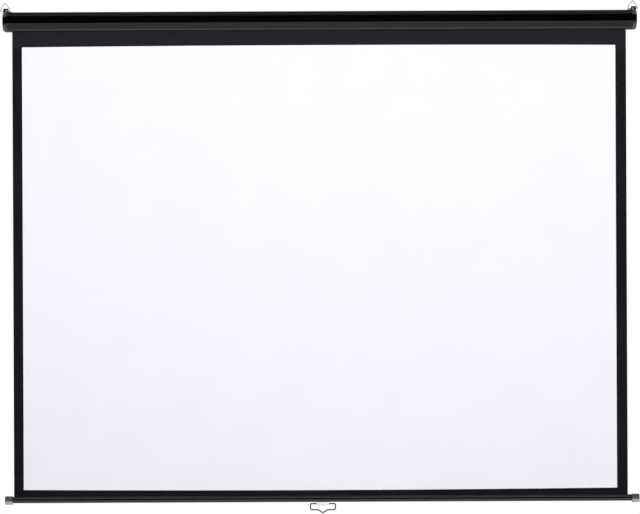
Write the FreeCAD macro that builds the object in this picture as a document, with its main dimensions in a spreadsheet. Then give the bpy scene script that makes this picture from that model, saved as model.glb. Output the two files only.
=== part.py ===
import FreeCAD, Part
import os
import re

import Sketcher

# Pull-down projection screen, in millimetres.
# A sheet-metal case holds a spring roller. The screen cloth hangs from the front of the roller, through a
# slot in the case, and carries a weighted bar with a pull handle. Two rings in the end caps hang the case.
# The origin is the middle of the case's flat back. X runs along the case, -Y is the front and +Z is up.

# Driving sizes: name, number and what it measures
SIZES = [
    ("picture_width", "2032", "white picture area, across"),
    ("picture_height", "1524", "white picture area, down"),
    ("side_border", "35", "black border beside the picture"),
    ("top_border", "52.5", "black border that shows between the case and the picture"),
    ("bottom_border", "18.5", "black border between the picture and the bar"),
    ("cloth_thickness", "0.35", "coated cloth"),
    ("cloth_shift", "2.5", "cloth's middle, left of the middle of the case"),
    ("hang_gap", "0.3", "gap between the hanging cloth and what it passes or meets"),

    ("roller_diameter", "25", "roller tube, outside"),
    ("roller_wall", "1.2", "roller tube"),
    ("roller_overhang", "15", "roller tube past each edge of the cloth"),
    ("roller_rise", "1", "roller axis above the middle of the case's height"),
    ("spare_wraps", "2", "turns of cloth that stay on the roller"),
    ("wrap_fit", "0.1", "gap between the tube and its first turn of cloth"),
    ("plug_length", "25", "end plug inside the tube"),
    ("plug_fit", "0.1", "radial gap of what is seated in or on another piece"),
    ("flange_diameter", "32", "end plug's flange"),
    ("flange_thickness", "3", "end plug's flange"),
    ("running_fit", "0.08", "radial gap of a turning fit"),

    ("shaft_diameter", "8", "spring shaft"),
    ("shaft_length", "420", "spring shaft"),
    ("shaft_flat", "5", "across the flats of the shaft's outer end"),
    ("ratchet_diameter", "18", "stop wheel"),
    ("ratchet_thickness", "4", "stop wheel"),
    ("ratchet_gap", "0.5", "between the plug's flange and the stop wheel"),
    ("collar_diameter", "12", "stop wheel's collar, which spaces it from the bracket"),
    ("collar_length", "4", "stop wheel's collar"),
    ("notch_depth", "3.5", "stop wheel's notch"),
    ("notch_ramp", "1.4", "slope of the notch's back, across its depth"),
    ("spring_inside", "10", "wound spring's inside diameter"),
    ("spring_outside", "18", "wound spring's outside diameter"),
    ("anchor_diameter", "20", "spring anchor"),
    ("anchor_length", "15", "spring anchor"),
    ("idler_diameter", "8", "idler pin"),
    ("idler_end_gap", "0.5", "between the idler pin's end and the cap"),
    ("bush_diameter", "12", "idler bush in its bracket"),
    ("bush_flange", "16", "idler bush's flange"),
    ("bush_flange_thickness", "1.5", "idler bush's flange"),

    ("pawl_thickness", "3", "pawl plate"),
    ("pawl_gap", "0.5", "between the plug's flange and the pawl"),
    ("pawl_reach", "8", "pawl's pivot to its tooth"),
    ("pawl_pivot_room", "1.5", "pawl's arm below the stop wheel's rim when the tooth is in a notch"),
    ("pawl_arm", "3.1", "pawl's arm, across"),
    ("pawl_boss", "5.2", "pawl's boss"),
    ("pawl_tooth", "2.5", "pawl's tooth, across"),
    ("tooth_play", "0.4", "between the tooth and its notch"),
    ("pawl_pin_diameter", "3", "pawl's pivot"),
    ("pawl_pin_depth", "2.5", "pawl's pivot in the plug's flange"),
    ("pawl_pin_head", "1", "thickness of the pivot's head"),
    ("pawl_lift", "32", "degrees that the pawl hangs clear of its notch"),

    ("bracket_thickness", "2.5", "roller bracket"),
    ("bracket_height", "44", "roller bracket"),
    ("bracket_front", "20", "roller bracket in front of the roller's axis"),
    ("bracket_back_gap", "3", "roller bracket's back edge to the wall face"),

    ("top_bevel", "15.5", "bevel between the case's top and front, each way"),
    ("front_height", "26.5", "case's upright front face"),
    ("under_bevel_height", "15", "bevel below the front face, down"),
    ("under_bevel_depth", "14.8", "bevel below the front face, back"),
    ("lip_height", "6", "lip at the slot's front edge"),
    ("lip_lean", "1.2", "lip's lower edge, behind its upper edge"),
    ("lip_thickness", "2", "lip, front to back"),
    ("slot_width", "18", "slot in the case's underside"),
    ("case_wall", "1", "case's sheet metal"),
    ("top_bend", "4", "outside of the folds at the top bevel"),
    ("front_bend", "7", "outside of the fold below the front face"),
    ("lip_bend", "4", "outside of the lip's curled lower edge"),
    ("lip_fold", "2", "fold between the under bevel and the lip"),
    ("back_room", "6", "inside of the case's back to the roller's flange"),

    ("cap_wall", "2", "end cap's skirt"),
    ("cap_end_wall", "4", "end cap's end"),
    ("cap_end_room", "9", "case's end to the inside of the cap's end"),
    ("cap_shoulder", "2", "step inside the cap that the case's end meets"),
    ("cap_cloth_gap", "2", "cloth's edge to the cap's skirt"),
    ("cap_fit", "0.1", "between the cap's skirt and the case"),
    ("cap_rim_radius", "6", "cap's outer rim"),
    ("lug_length", "17.3", "hanging lug, along the case"),
    ("lug_depth", "14", "hanging lug, front to back"),
    ("lug_height", "11", "hanging lug above the cap"),
    ("lug_inset", "0.7", "lug to the cap's end"),
    ("lug_hole", "4", "hole through the lug"),
    ("lug_hole_rise", "3.2", "lug's hole above the cap"),
    ("lug_round", "2", "lug's edges"),
    ("window_width", "8", "window through the lug where the ring shows, along the case"),
    ("window_height", "5", "window through the lug"),
    ("window_offset", "2.2", "window's middle, from the lug's middle towards the case"),
    ("ring_wire", "3", "hanging ring's wire"),
    ("ring_width", "40", "hanging ring's base, at the wire's middle"),
    ("ring_height", "29", "hanging ring's base to its top"),
    ("ring_bend", "3.5", "hanging ring's corners"),
    ("ring_slide", "2.6", "rings slid along their lugs, to the left"),
    ("ring_joint", "0.6", "gap between the ring's wire ends, inside the lug"),

    ("bar_height", "22", "bottom bar"),
    ("bar_depth", "16", "bottom bar, front to back"),
    ("bar_wall", "2", "bottom bar"),
    ("bar_shift", "1.8", "bar's middle, right of the middle of the case"),
    ("bar_corner", "5", "bottom bar's long edges"),
    ("bar_groove_drop", "8", "bar's top to the groove along its front and back"),
    ("bar_groove_width", "4", "groove along the bar's front and back"),
    ("bar_groove_depth", "1.2", "groove along the bar's front and back, at its upper edge"),
    ("bar_slot", "2", "slot in the bar's top for the cloth"),
    ("bar_overhang", "31", "bar past each edge of the cloth"),
    ("bar_cap_length", "25", "bar's end cap"),
    ("bar_cap_wall", "1.5", "bar's end cap, round the bar"),
    ("bar_cap_foot", "3.5", "bar's end cap, further down below the bar"),
    ("bar_cap_end", "4", "bar's end cap, past the bar"),
    ("bar_cap_rim", "3", "bar's end cap, outer rim"),
    ("hem_rod_diameter", "5", "rod in the cloth's hem"),

    ("clip_width", "42", "handle clip, along the bar"),
    ("clip_depth", "12", "handle clip, front to back"),
    ("clip_drop", "6", "bar's underside to the handle's pivot"),
    ("clip_offset", "2.2", "handle clip, right of the bar's middle"),
    ("handle_wire", "4", "pull handle's wire"),
    ("handle_width", "85.6", "pull handle, at the wire's middle"),
    ("handle_drop", "20.8", "pull handle's pivot to its lower run"),
    ("vee_width", "32", "V in the handle's lower run"),
    ("vee_depth", "10.4", "V in the handle's lower run"),
    ("handle_grip", "8", "handle's ends inside the clip"),
    ("handle_top_bend", "4", "handle's upper corners"),
    ("handle_low_bend", "6", "handle's lower corners"),
    ("vee_bend", "5", "bends of the handle's V"),

    ("cap_screw_shank", "3.5", "screws that hold the caps"),
    ("cap_screw_head", "7", "screws that hold the caps"),
    ("cap_screw_length", "8", "screws that hold the caps"),
    ("bracket_screw_shank", "4", "screws that hold the brackets"),
    ("bracket_screw_head", "8", "screws that hold the brackets"),
    ("bracket_screw_length", "7.5", "screws that hold the brackets"),
    ("bracket_screw_spacing", "32", "between a bracket's two screws"),
    ("clip_screw_shank", "3", "screws that hold the clip"),
    ("clip_screw_head", "6", "screws that hold the clip"),
    ("clip_screw_spacing", "12", "between the clip's two screws"),
    ("clip_screw_bite", "3", "clip's screws past the bar's wall"),
    ("clip_screw_seat", "8", "clip's screw heads below the bar"),
    ("recess_width", "0.9", "arms of the cross in a screw's head"),
    ("recess_depth", "1", "cross in a screw's head"),
    ("recess_rim", "1.3", "screw head's edge to the cross"),

    ("cut_room", "1", "how far a cut goes on past the face that it opens"),
]

# Places that follow from the driving sizes
PLACES = [
    ("cloth_width", "picture_width + 2 * side_border"),
    ("cloth_edge", "cloth_width / 2"),
    ("cloth_left", "-cloth_edge - cloth_shift"),
    ("roller_end", "cloth_edge + roller_overhang"),
    ("flange_end", "roller_end + flange_thickness"),
    ("ratchet_in", "flange_end + ratchet_gap"),
    ("ratchet_out", "ratchet_in + ratchet_thickness"),
    ("bracket_in", "ratchet_out + collar_length"),
    ("bracket_out", "bracket_in + bracket_thickness"),
    ("cap_end", "bracket_out + cap_end_wall"),
    ("cap_in", "cloth_edge + cap_cloth_gap"),
    ("case_end", "bracket_out - cap_end_room"),
    ("shaft_in", "bracket_out - shaft_length"),
    ("plug_in", "roller_end - plug_length"),
    ("plug_radius", "roller_diameter / 2 - roller_wall - plug_fit"),

    ("case_height", "top_bevel + front_height + under_bevel_height + lip_height"),
    ("case_top", "case_height / 2"),
    ("front_top", "case_top - top_bevel"),
    ("front_bottom", "front_top - front_height"),
    ("lip_top", "front_bottom - under_bevel_height"),
    ("wrap_radius", "roller_diameter / 2 + wrap_fit + spare_wraps * cloth_thickness"),
    ("roller_y", "-(case_wall + back_room + flange_diameter / 2)"),
    ("cloth_y", "roller_y - wrap_radius - hang_gap - cloth_thickness / 2"),
    ("slot_front", "cloth_y - slot_width / 2"),
    ("lip_front", "slot_front - lip_thickness"),
    ("case_front", "lip_front - lip_lean - under_bevel_depth"),
    ("bevel_start", "case_front + top_bevel"),
    ("under_turn", "atan(under_bevel_depth / under_bevel_height)"),

    ("cap_skin", "cap_fit + cap_wall"),
    ("cap_top", "case_top + cap_skin"),
    ("ring_x", "cap_end - lug_inset - lug_length / 2"),
    ("ring_y", "cloth_y"),
    ("ring_z", "cap_top + lug_hole_rise"),
    ("cap_screw_x", "(cap_in + case_end) / 2"),
    ("cap_screw_top_y", "bevel_start / 2"),
    ("cap_screw_low_y", "(slot_front + slot_width) / 2"),

    ("bar_top", "-case_top - top_border - picture_height - bottom_border"),
    ("bar_bottom", "bar_top - bar_height"),
    ("bar_end", "cloth_edge + bar_overhang"),
    ("hem_rod_z", "bar_top - bar_wall - plug_fit - hem_rod_diameter / 2"),
    ("cloth_bottom", "hem_rod_z + hem_rod_diameter / 2 + hang_gap"),
    ("pivot_z", "bar_bottom - clip_drop"),

    ("pawl_drop", "ratchet_diameter / 2 + pawl_pivot_room"),
    ("tooth_tip", "pawl_pivot_room + notch_depth - tooth_play"),
]

V = FreeCAD.Vector
ALONG_X = FreeCAD.Rotation(V(0, 1, 0), 90)
SIDES = [("left", -1), ("right", 1)]

doc = FreeCAD.newDocument("projection_screen")
sheets = {}
nodes = []


def tie(text):
    """The expression with each named size or place given its sheet."""
    return re.sub(r"[a-z_]+", lambda word: sheets.get(word.group(), "") + word.group(), text)


def fill_sheet(name, rows):
    """A spreadsheet with one named cell to a row, and what it means beside it."""
    sheet = doc.addObject("Spreadsheet::Sheet", name)
    for row, (alias, content, meaning) in enumerate(rows, start=1):
        sheet.set("A%d" % row, meaning)
        sheet.set("B%d" % row, content)
        sheet.setAlias("B%d" % row, alias)
    return sheet


sizes = fill_sheet("Sizes", SIZES)
sheets.update((alias, "Sizes.") for alias, _, _ in SIZES)
doc.recompute()
place_rows = []
for alias, formula in PLACES:
    place_rows.append((alias, "=" + tie(formula), formula))
    sheets[alias] = "Places."
fill_sheet("Places", place_rows)
doc.recompute()


def number(text):
    """What an expression comes to now."""
    result = sizes.evalExpression(tie(text))
    return float(getattr(result, "Value", result))


def bind(item, **expressions):
    """Ties properties of a document object to the sheets."""
    for name, text in expressions.items():
        item.setExpression(name.replace("__", "."), tie(text))


def place(item, x="0", y="0", z="0"):
    """Ties where a document object sits."""
    bind(item, Placement__Base__x=x, Placement__Base__y=y, Placement__Base__z=z)


def finish(item, node):
    """Names a finished sub-part for its file."""
    item.Label = node
    nodes.append(item)
    return item


def new_body(name):
    return doc.addObject("PartDesign::Body", name + "_body")


def new_sketch(body, plane, offset="0"):
    """A sketch on one of the body's own planes, moved along the plane's normal."""
    sketch = body.newObject("Sketcher::SketchObject", "sketch")
    support = [item for item in body.Origin.OriginFeatures if item.Role == plane][0]
    sketch.AttachmentSupport = [(support, "")]
    sketch.MapMode = "FlatFace"
    bind(sketch, AttachmentOffset__Base__z=offset)
    return sketch


def fix_point(sketch, geometry, which, across, up):
    """Ties a point of a sketch to its two coordinates."""
    for kind, text in (("DistanceX", across), ("DistanceY", up)):
        index = sketch.addConstraint(Sketcher.Constraint(kind, -1, 1, geometry, which, number(text)))
        sketch.setExpression("Constraints[%d]" % index, tie(text))


def draw_runs(sketch, corners, closed=True):
    """Straight runs from corner to corner, each corner an (across, up) pair of expressions."""
    points = [V(number(across), number(up), 0) for across, up in corners]
    ends = points[1:] + points[:1] if closed else points[1:]
    first = sketch.GeometryCount
    for start, end in zip(points, ends):
        sketch.addGeometry(Part.LineSegment(start, end))
    count = len(ends)
    for run in range(count if closed else count - 1):
        after = first + (run + 1) % count
        sketch.addConstraint(Sketcher.Constraint("Coincident", first + run, 2, after, 1))
    for run in range(count):
        fix_point(sketch, first + run, 1, *corners[run])
    if not closed:
        fix_point(sketch, first + count - 1, 2, *corners[-1])


def draw_circle(sketch, radius, across="0", up="0"):
    """A circle whose centre and radius are expressions."""
    centre = V(number(across), number(up), 0)
    circle = sketch.addGeometry(Part.Circle(centre, V(0, 0, 1), number(radius)))
    fix_point(sketch, circle, 3, across, up)
    index = sketch.addConstraint(Sketcher.Constraint("Radius", circle, number(radius)))
    sketch.setExpression("Constraints[%d]" % index, tie(radius))


def round_corner(sketch, run, after, radius):
    """Rounds the corner where one run meets the run after it."""
    start = sketch.getPoint(run, 1)
    end = sketch.getPoint(after, 2)
    sketch.fillet(run, after, start, end, number(radius), True, True)
    arc = sketch.GeometryCount - 2
    index = sketch.addConstraint(Sketcher.Constraint("Radius", arc, number(radius)))
    sketch.setExpression("Constraints[%d]" % index, tie(radius))


def draw_bent_wire(sketch, corners, bends):
    """Open runs whose inner corners are rounded, each to its own radius."""
    draw_runs(sketch, corners, closed=False)
    for run, bend in enumerate(bends):
        round_corner(sketch, run, run + 1, bend)


def draw_rounded(sketch, corners, radii):
    """A closed outline whose corners are rounded, each to its own radius, or sharp where that is None."""
    first = sketch.GeometryCount
    draw_runs(sketch, corners)
    for corner, radius in enumerate(radii):
        if radius:
            round_corner(sketch, first + (corner - 1) % len(corners), first + corner, radius)


def pad(body, sketch, length, middle=False):
    feature = body.newObject("PartDesign::Pad", "pad")
    feature.Profile = sketch
    feature.Midplane = middle
    bind(feature, Length=length)
    return feature


def pocket(body, sketch, length, forward=True, middle=False):
    """A cut from the sketch, along its normal unless forward is false."""
    doc.recompute()
    before = body.Shape.Volume
    feature = body.newObject("PartDesign::Pocket", "pocket")
    feature.Profile = sketch
    feature.Midplane = middle
    feature.Reversed = forward
    bind(feature, Length=length)
    doc.recompute()
    if not body.Shape.Volume < before:
        raise RuntimeError("a cut in %s removes nothing" % body.Name)
    return feature


def revolve(body, sketch):
    """A full turn of the sketch about its own horizontal axis."""
    feature = body.newObject("PartDesign::Revolution", "turned")
    feature.Profile = sketch
    feature.ReferenceAxis = (sketch, ["H_Axis"])
    feature.Angle = 360
    return feature


def round_edges(body, radius, wanted):
    """Rounds those edges of the body that wanted(edge) picks."""
    doc.recompute()
    base = body.Tip
    names = ["Edge%d" % n for n, edge in enumerate(base.Shape.Edges, start=1) if wanted(edge)]
    feature = body.newObject("PartDesign::Fillet", "round")
    feature.Base = (base, names)
    bind(feature, Radius=radius)
    doc.recompute()
    return feature


def near(a, b):
    return abs(a - b) < 1e-4


def span(side, near_end, far_end):
    """Where a piece starts along X, and its length, on the left or the right."""
    start = near_end if side > 0 else "-(%s)" % far_end
    return start, "(%s) - (%s)" % (far_end, near_end)


def case_section(grow, back):
    """The case's outline with every face but the back moved outwards by grow."""
    top_shift = "(%s) * tan(22.5 deg)" % grow
    low_shift = "(%s) * tan(under_turn / 2)" % grow
    return [
        (back, "case_top + (%s)" % grow),
        ("bevel_start - %s" % top_shift, "case_top + (%s)" % grow),
        ("case_front - (%s)" % grow, "front_top + %s" % top_shift),
        ("case_front - (%s)" % grow, "front_bottom - %s" % low_shift),
        ("lip_front - lip_lean - (%s)" % grow, "lip_top - %s" % low_shift),
        ("lip_front - (%s)" % grow, "-case_top - (%s)" % grow),
        (back, "-case_top - (%s)" % grow),
    ]


def draw_case_section(sketch, grow, back):
    """The case's outline with its folds rounded, and those that turn outwards kept about one centre."""
    top = "top_bend + (%s)" % grow
    front = "front_bend + (%s)" % grow
    lip = "lip_bend + (%s)" % grow
    draw_rounded(sketch, case_section(grow, back), [None, top, top, front, "lip_fold", lip, None])


def rectangle(left, right, low, high):
    return [(left, low), (right, low), (right, high), (left, high)]


# Case

def make_case_shell():
    """Folded sheet metal with a slot along its underside and a hole for each cap screw."""
    body = new_body("case_shell")
    section = new_sketch(body, "YZ_Plane")
    draw_case_section(section, "0", "0")
    draw_case_section(section, "-case_wall", "-case_wall")
    pad(body, section, "2 * case_end", middle=True)
    slot = new_sketch(body, "YZ_Plane")
    draw_runs(slot, rectangle("slot_front", "slot_front + slot_width",
                              "-case_top - cut_room", "-case_top + case_wall + cut_room"))
    pocket(body, slot, "2 * (case_end + cut_room)", middle=True)
    for low, across in (("case_top - case_wall", "cap_screw_top_y"), ("-case_top", "cap_screw_low_y")):
        holes = new_sketch(body, "XY_Plane", low + " - cut_room")
        for _, side in SIDES:
            draw_circle(holes, "cap_screw_shank / 2 + plug_fit", "%d * cap_screw_x" % side, across)
        pocket(body, holes, "case_wall + 2 * cut_room")
    finish(body, "case_shell")


def countersink(body, sketch, shank, head, depth, upward):
    """A countersunk hole at each circle of the sketch."""
    doc.recompute()
    before = body.Shape.Volume
    hole = body.newObject("PartDesign::Hole", "hole")
    hole.Profile = sketch
    hole.DepthType = "Dimension"
    hole.DrillPoint = "Flat"
    hole.HoleCutType = "Countersink"
    hole.HoleCutCustomValues = True
    hole.Reversed = upward
    bind(hole, Diameter="%s + 2 * plug_fit" % shank, HoleCutDiameter="%s + 2 * plug_fit" % head, Depth=depth)
    hole.HoleCutCountersinkAngle = 90
    doc.recompute()
    if not body.Shape.Volume < before:
        raise RuntimeError("a hole in %s removes nothing" % body.Name)


def make_end_cap(name, side):
    """Moulded cap over the case's end, with a step for the case and a hanging lug on top.

    Its front and lip end level with the case below, so that the cloth passes.
    """
    body = new_body(name + "_end_cap")
    start, length = span(side, "cap_in", "cap_end")
    outside = new_sketch(body, "YZ_Plane", start)
    draw_case_section(outside, "cap_skin", "0")
    pad(body, outside, length)
    end = side * number("cap_end")

    def on_rim(edge):
        return near(edge.CenterOfMass.x, end) and edge.CenterOfMass.y < -1e-3

    round_edges(body, "cap_rim_radius", on_rim)

    lug = new_sketch(body, "XY_Plane", "cap_top - cap_rim_radius")
    middle = "%d * ring_x" % side
    draw_runs(lug, rectangle(middle + " - lug_length / 2", middle + " + lug_length / 2",
                             "ring_y - lug_depth / 2", "ring_y + lug_depth / 2"))
    pad(body, lug, "cap_rim_radius + lug_height")
    cap_top = number("cap_top")
    round_edges(body, "lug_round", lambda edge: edge.CenterOfMass.z > cap_top + 1)

    start, length = span(side, "cap_in", "case_end")
    socket = new_sketch(body, "YZ_Plane", start)
    draw_case_section(socket, "cap_fit", "cut_room")
    pocket(body, socket, length)
    start, length = span(side, "case_end", "bracket_out")
    hollow = new_sketch(body, "YZ_Plane", start)
    draw_runs(hollow, case_section("-cap_shoulder", "-cap_wall"))
    pocket(body, hollow, length)
    start, length = span(side, "cap_in - cut_room", "cap_end + cut_room")
    below = new_sketch(body, "YZ_Plane", start)
    draw_runs(below, rectangle("case_front - cap_skin", "slot_front + slot_width",
                               "-cap_top - cut_room", "-case_top"))
    pocket(body, below, length)

    window = new_sketch(body, "XZ_Plane", "-ring_y")
    middle = "%d * (ring_x - window_offset)" % side
    draw_runs(window, rectangle(middle + " - window_width / 2", middle + " + window_width / 2",
                                "ring_z - window_height / 2", "ring_z + window_height / 2"))
    pocket(body, window, "lug_depth + 2 * cut_room", middle=True)
    lug_end = "cap_end - lug_inset"
    start, length = span(side, lug_end + " - lug_length - cut_room", lug_end + " + cut_room")
    eye = new_sketch(body, "YZ_Plane", start)
    draw_circle(eye, "lug_hole / 2", "ring_y", "ring_z")
    pocket(body, eye, length)

    holes = [("cap_top", "cap_screw_top_y", False), ("-cap_top", "cap_screw_low_y", True)]
    for height, across, upward in holes:
        spot = new_sketch(body, "XY_Plane", height)
        draw_circle(spot, "cap_screw_shank / 2", "%d * cap_screw_x" % side, across)
        countersink(body, spot, "cap_screw_shank", "cap_screw_head", "cap_wall + cut_room", upward)
    spots = new_sketch(body, "YZ_Plane", "%d * cap_end" % side)
    for up in (-1, 1):
        draw_circle(spots, "bracket_screw_shank / 2", "roller_y",
                    "roller_rise + %d * bracket_screw_spacing / 2" % up)
    countersink(body, spots, "bracket_screw_shank", "bracket_screw_head", "cap_end_wall + cut_room", side < 0)
    finish(body, name + "_end_cap")


def make_bracket(name, side):
    """Plate inside the cap, with the shaft's keyed slot on the right or the bush's hole on the left."""
    body = new_body(name + "_roller_bracket")
    start, length = span(side, "bracket_in", "bracket_out")
    outline = new_sketch(body, "YZ_Plane", start)
    draw_runs(outline, rectangle("roller_y - bracket_front", "-bracket_back_gap",
                                 "roller_rise - bracket_height / 2", "roller_rise + bracket_height / 2"))
    pad(body, outline, length)
    seat = new_sketch(body, "YZ_Plane", start)
    if side > 0:
        half_flat = "shaft_flat / 2 + plug_fit"
        half_wide = "shaft_diameter / 2 + plug_fit"
        draw_runs(seat, rectangle("roller_y - (%s)" % half_flat, "roller_y + %s" % half_flat,
                                  "roller_rise - (%s)" % half_wide, "roller_rise + %s" % half_wide))
    else:
        draw_circle(seat, "bush_diameter / 2 + plug_fit", "roller_y", "roller_rise")
    pocket(body, seat, length)
    taps = new_sketch(body, "YZ_Plane", start)
    for up in (-1, 1):
        draw_circle(taps, "bracket_screw_shank / 2 + plug_fit", "roller_y",
                    "roller_rise + %d * bracket_screw_spacing / 2" % up)
    pocket(body, taps, length)
    finish(body, name + "_roller_bracket")


def make_screw(kind, length):
    """A countersunk screw whose head's face is at its own origin and whose shank points along its own X."""
    head = "%s_head / 2" % kind
    shank = "%s_shank / 2" % kind
    body = new_body(kind)
    profile = new_sketch(body, "XZ_Plane")
    neck = head + " - " + shank
    draw_runs(profile, [("0", "0"), ("0", head), (neck, shank), (length, shank), (length, "0")])
    revolve(body, profile)
    cross = new_sketch(body, "YZ_Plane")
    arm = "(%s - recess_rim)" % head
    half = "recess_width / 2"
    corners = []
    for across, up in ((1, 1), (-1, 1), (-1, -1), (1, -1)):
        far_side = ("%d * %s" % (across, arm), "%d * %s" % (up, half))
        inner = ("%d * %s" % (across, half), "%d * %s" % (up, half))
        far_end = ("%d * %s" % (across, half), "%d * %s" % (up, arm))
        corners += [far_side, inner, far_end] if across == up else [far_end, inner, far_side]
    draw_runs(cross, corners)
    pocket(body, cross, "recess_depth")
    return body


def screw_group(node, kind, length, spots):
    """Screws at the spots: each gives the way that the screw points, and where its head's face is."""
    screws = []
    for way, where in spots:
        screw = make_screw(kind, length)
        screw.Placement = FreeCAD.Placement(V(0, 0, 0), FreeCAD.Rotation(V(1, 0, 0), V(*way)))
        place(screw, *where)
        screws.append(screw)
    group = doc.addObject("Part::Compound", node + "_group")
    group.Links = screws
    finish(group, node)


def make_case_screws():
    cap_spots = []
    bracket_spots = []
    for _, side in SIDES:
        along = "%d * cap_screw_x" % side
        cap_spots.append(((0, 0, -1), (along, "cap_screw_top_y", "cap_top")))
        cap_spots.append(((0, 0, 1), (along, "cap_screw_low_y", "-cap_top")))
        for up in (-1, 1):
            height = "roller_rise + %d * bracket_screw_spacing / 2" % up
            bracket_spots.append(((-side, 0, 0), ("%d * cap_end" % side, "roller_y", height)))
    screw_group("end_cap_screws", "cap_screw", "cap_screw_length", cap_spots)
    screw_group("bracket_screws", "bracket_screw", "bracket_screw_length", bracket_spots)


# Roller and its fixed spindle

def make_tube(node, outer, inner, start, length):
    """A round tube about the roller's axis."""
    body = new_body(node)
    ring = new_sketch(body, "YZ_Plane", start)
    draw_circle(ring, outer)
    draw_circle(ring, inner)
    pad(body, ring, length)
    place(body, y="roller_y", z="roller_rise")
    finish(body, node)


def make_turned(node, profile):
    """A piece turned about the roller's axis from (along X, radius) corners."""
    body = new_body(node)
    sketch = new_sketch(body, "XZ_Plane")
    draw_runs(sketch, profile)
    revolve(body, sketch)
    place(body, y="roller_y", z="roller_rise")
    return body


def plug_profile(side, bore):
    """Spigot in the tube and flange against its end."""
    rim = "flange_diameter / 2"
    profile = [("plug_in", bore), ("plug_in", "plug_radius"), ("roller_end", "plug_radius"),
               ("roller_end", rim), ("flange_end", rim), ("flange_end", bore)]
    return [("%d * %s" % (side, along), radius) for along, radius in profile]


def make_roller():
    make_tube("roller_tube", "roller_diameter / 2", "roller_diameter / 2 - roller_wall",
              "-roller_end", "2 * roller_end")
    make_tube("cloth_wraps", "wrap_radius", "roller_diameter / 2 + wrap_fit", "cloth_left", "cloth_width")
    plug = make_turned("spring_end_plug", plug_profile(1, "shaft_diameter / 2 + running_fit"))
    pin_hole = new_sketch(plug, "YZ_Plane", "flange_end - pawl_pin_depth")
    draw_circle(pin_hole, "pawl_pin_diameter / 2 + plug_fit", "pawl_reach", "-pawl_drop")
    pocket(plug, pin_hole, "pawl_pin_depth + cut_room")
    finish(plug, "spring_end_plug")
    finish(make_turned("idler_end_plug", plug_profile(-1, "idler_diameter / 2 + plug_fit")), "idler_end_plug")
    pin_end = "-(bracket_out - idler_end_gap)"
    radius = "idler_diameter / 2"
    finish(make_turned("idler_pin", [
        ("-plug_in", "0"), ("-plug_in", radius), (pin_end, radius), (pin_end, "0")]), "idler_pin")
    bore = "idler_diameter / 2 + running_fit"
    bush_in = "-(bracket_in - bush_flange_thickness)"
    finish(make_turned("idler_bush", [
        (bush_in, bore), (bush_in, "bush_flange / 2"), ("-bracket_in", "bush_flange / 2"),
        ("-bracket_in", "bush_diameter / 2"), ("-bracket_out", "bush_diameter / 2"), ("-bracket_out", bore)]),
        "idler_bush")


def make_spring_end():
    """Fixed spindle with its flat end in the bracket, the spring on it and the stop wheel."""
    radius = "shaft_diameter / 2"
    shaft = make_turned("spring_shaft", [("shaft_in", "0"), ("shaft_in", radius), ("bracket_out", radius),
                                         ("bracket_out", "0")])
    flats = new_sketch(shaft, "YZ_Plane", "bracket_in")
    for way in (-1, 1):
        draw_runs(flats, rectangle("%d * shaft_flat / 2" % way, "%d * shaft_diameter" % way,
                                   "-shaft_diameter", "shaft_diameter"))
    pocket(shaft, flats, "bracket_thickness + cut_room")
    finish(shaft, "spring_shaft")
    spring_in = "shaft_in + anchor_length"
    make_tube("spring_anchor", "anchor_diameter / 2", "shaft_diameter / 2 + plug_fit",
              "shaft_in", "anchor_length")
    make_tube("torsion_spring", "spring_outside / 2", "spring_inside / 2", spring_in,
              "plug_in - hang_gap - (%s)" % spring_in)

    wheel = new_body("ratchet_wheel")
    disc = new_sketch(wheel, "YZ_Plane")
    draw_circle(disc, "ratchet_diameter / 2")
    pad(wheel, disc, "ratchet_thickness")
    collar = new_sketch(wheel, "YZ_Plane", "ratchet_thickness")
    draw_circle(collar, "collar_diameter / 2")
    pad(wheel, collar, "collar_length")
    bore = new_sketch(wheel, "YZ_Plane")
    draw_circle(bore, "shaft_diameter / 2 + plug_fit")
    pocket(wheel, bore, "ratchet_thickness + collar_length")
    rim = "ratchet_diameter / 2"
    root = rim + " - notch_depth"
    beyond = rim + " + cut_room"
    half = "pawl_tooth / 2 + tooth_play"
    ramp_end = half + " + notch_ramp"
    notch = [("-(%s)" % half, root), (half, root), (ramp_end, rim), (ramp_end, beyond),
             ("-(%s)" % half, beyond)]
    notches = new_sketch(wheel, "YZ_Plane")
    for way in (-1, 1):
        draw_runs(notches, [("%d * (%s)" % (way, across), "%d * (%s)" % (way, up)) for across, up in notch])
    pocket(wheel, notches, "ratchet_thickness")
    place(wheel, "ratchet_in", "roller_y", "roller_rise")
    finish(wheel, "ratchet_wheel")


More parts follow.
